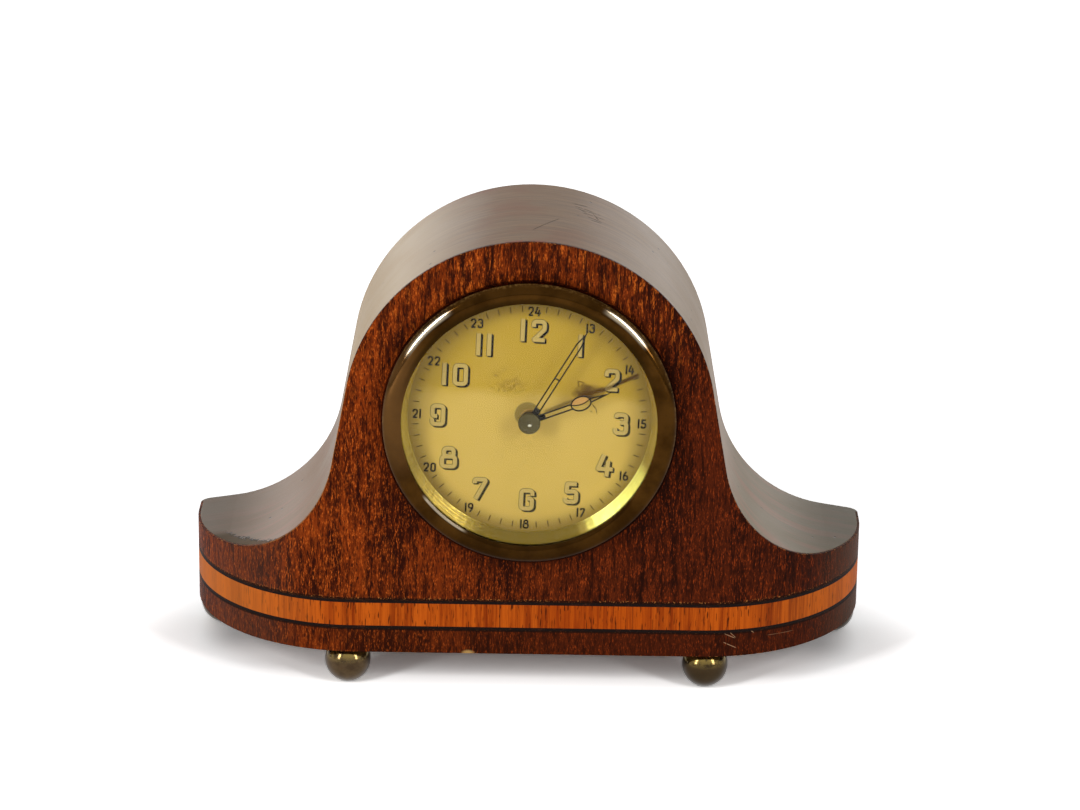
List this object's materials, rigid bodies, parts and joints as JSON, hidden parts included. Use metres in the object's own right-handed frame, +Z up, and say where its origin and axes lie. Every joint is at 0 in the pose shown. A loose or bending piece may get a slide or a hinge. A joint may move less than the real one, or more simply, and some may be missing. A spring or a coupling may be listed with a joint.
{
  "type": "table clock",
  "caption": "Hat-shaped wooden mantel clock on ball feet, with inlaid base, round bezel, gold dial, hands and a spring movement wound and set from behind.",
  "frame": {"origin": "on the surface the clock stands on, under the middle of its bounding box", "axes": "+Z up, +X along the case's width to the right as the dial is read, dial facing -Y"},
  "size_m": [0.22, 0.0712, 0.1518],
  "materials": {
    "case_wood": "dark stained, satin polish",
    "top_veneer": "dark stained veneer, satin polish",
    "front_veneer": "reddish brown veneer, polished, short upright flecks",
    "inlay": "light orange-brown cross-grained veneer, polished",
    "stringing": "black dyed wood, polished",
    "foot_brass": "tarnished",
    "bezel_brass": "brown patina, worn smooth",
    "glass": "clear",
    "reflector_brass": "polished",
    "dial_paint": "gold lacquer, stained with age",
    "drum_steel": "tinned sheet",
    "fastener_steel": "plain",
    "movement_brass": "dull",
    "movement_steel": "plain",
    "spring_steel": "blued",
    "hand_steel": "dark, worn",
    "key_nickel": "nickel plated"
  },
  "bodies": {
    "case": {"case_body": "case_wood", "top_veneer": "top_veneer", "front_veneer_upper": "front_veneer", "front_veneer_lower": "front_veneer", "inlay_band": "inlay", "stringing_upper": "stringing", "stringing_lower": "stringing", "foot_front_left": "foot_brass", "foot_front_right": "foot_brass", "foot_rear_left": "foot_brass", "foot_rear_right": "foot_brass", "bezel": "bezel_brass", "glass": "glass", "reflector_ring": "reflector_brass", "dial": "dial_paint", "drum_case": "drum_steel", "drum_cover": "drum_steel", "retaining_clip_1": "fastener_steel", "retaining_clip_2": "fastener_steel", "retaining_clip_3": "fastener_steel", "clip_screws": "fastener_steel", "pillar_nuts": "fastener_steel", "seat_screws": "fastener_steel", "bearing_screws": "fastener_steel", "front_plate": "movement_brass", "rear_plate": "movement_brass", "pillar_1": "movement_brass", "pillar_2": "movement_brass", "pillar_3": "movement_brass", "pillar_4": "movement_brass", "mainspring": "spring_steel", "hairspring": "spring_steel"},
    "hands": {"centre_arbor": "movement_steel", "friction_spring": "movement_brass", "cannon_pinion": "movement_steel", "minute_hand": "hand_steel", "hand_cap": "hand_steel", "setting_knob": "key_nickel"},
    "hour": {"hour_wheel": "movement_brass", "hour_hand": "hand_steel"},
    "minute_work": {"minute_wheel": "movement_brass"},
    "main": {"main_wheel": "movement_brass"},
    "winding": {"winding_arbor": "movement_steel", "ratchet_wheel": "movement_brass", "winding_key": "key_nickel"},
    "pawl": {"click": "movement_steel"},
    "centre": {"centre_pinion": "movement_steel", "centre_wheel": "movement_brass"},
    "third": {"third_arbor": "movement_steel", "third_wheel": "movement_brass"},
    "fourth": {"fourth_arbor": "movement_steel", "fourth_wheel": "movement_brass"},
    "escape": {"escape_arbor": "movement_steel", "escape_wheel": "movement_brass"},
    "lever": {"pin_lever": "movement_steel"},
    "balance": {"balance_staff": "movement_steel", "balance_wheel": "movement_brass"},
    "index": {"regulator": "movement_steel"}
  },
  "joints": [
    {"name": "hand_setting", "type": "hinge", "parent": "case", "child": "hands", "pos_m": [0, -0.02935, 0.093], "axis": [0, 1, 0], "continuous": true},
    {"name": "hour_turn", "type": "hinge", "parent": "case", "child": "hour", "pos_m": [0, -0.02535, 0.093], "axis": [0, 1, 0], "continuous": true},
    {"name": "minute_wheel_turn", "type": "hinge", "parent": "case", "child": "minute_work", "pos_m": [0.0096, -0.02335, 0.093], "axis": [0, -1, 0], "continuous": true},
    {"name": "train_run", "type": "hinge", "parent": "case", "child": "third", "pos_m": [0.0072, -0.00735, 0.10547], "axis": [0, -1, 0], "continuous": true},
    {"name": "main_wheel_turn", "type": "hinge", "parent": "case", "child": "main", "pos_m": [0, -0.01935, 0.0741], "axis": [0, -1, 0], "continuous": true},
    {"name": "centre_wheel_turn", "type": "hinge", "parent": "case", "child": "centre", "pos_m": [0, -0.00235, 0.093], "axis": [0, 1, 0], "continuous": true},
    {"name": "fourth_wheel_turn", "type": "hinge", "parent": "case", "child": "fourth", "pos_m": [-0.00462, -0.01235, 0.10864], "axis": [0, 1, 0], "continuous": true},
    {"name": "escape_wheel_turn", "type": "hinge", "parent": "case", "child": "escape", "pos_m": [-0.01405, -0.01635, 0.11408], "axis": [0, -1, 0], "continuous": true},
    {"name": "winding", "type": "hinge", "parent": "main", "child": "winding", "pos_m": [0, 0.02365, 0.0741], "axis": [0, -1, 0], "continuous": true},
    {"name": "click_lift", "type": "hinge", "parent": "main", "child": "pawl", "pos_m": [0.011, -0.02035, 0.0741], "axis": [0, 1, 0], "range_deg": [0, 12]},
    {"name": "lever_rock", "type": "hinge", "parent": "case", "child": "lever", "pos_m": [-0.01835, -0.01485, 0.10794], "axis": [0, 1, 0], "range_deg": [-4, 4]},
    {"name": "balance_swing", "type": "hinge", "parent": "case", "child": "balance", "pos_m": [-0.02437, -0.00885, 0.09933], "axis": [0, 1, 0], "range_deg": [-220, 220], "stiffness_Nm_per_rad": 0.000016},
    {"name": "regulator_turn", "type": "hinge", "parent": "case", "child": "index", "pos_m": [-0.02437, 0.00565, 0.09933], "axis": [0, 1, 0], "range_deg": [-18, 18]}
  ],
  "couplings": [
    {"joint": "hour_turn", "follows": "hand_setting", "ratio": 0.083333},
    {"joint": "minute_wheel_turn", "follows": "hand_setting", "ratio": 0.33333},
    {"joint": "centre_wheel_turn", "follows": "train_run", "ratio": 0.125},
    {"joint": "main_wheel_turn", "follows": "train_run", "ratio": 0.020833},
    {"joint": "fourth_wheel_turn", "follows": "train_run", "ratio": 7.5},
    {"joint": "escape_wheel_turn", "follows": "train_run", "ratio": 56.25}
  ]
}
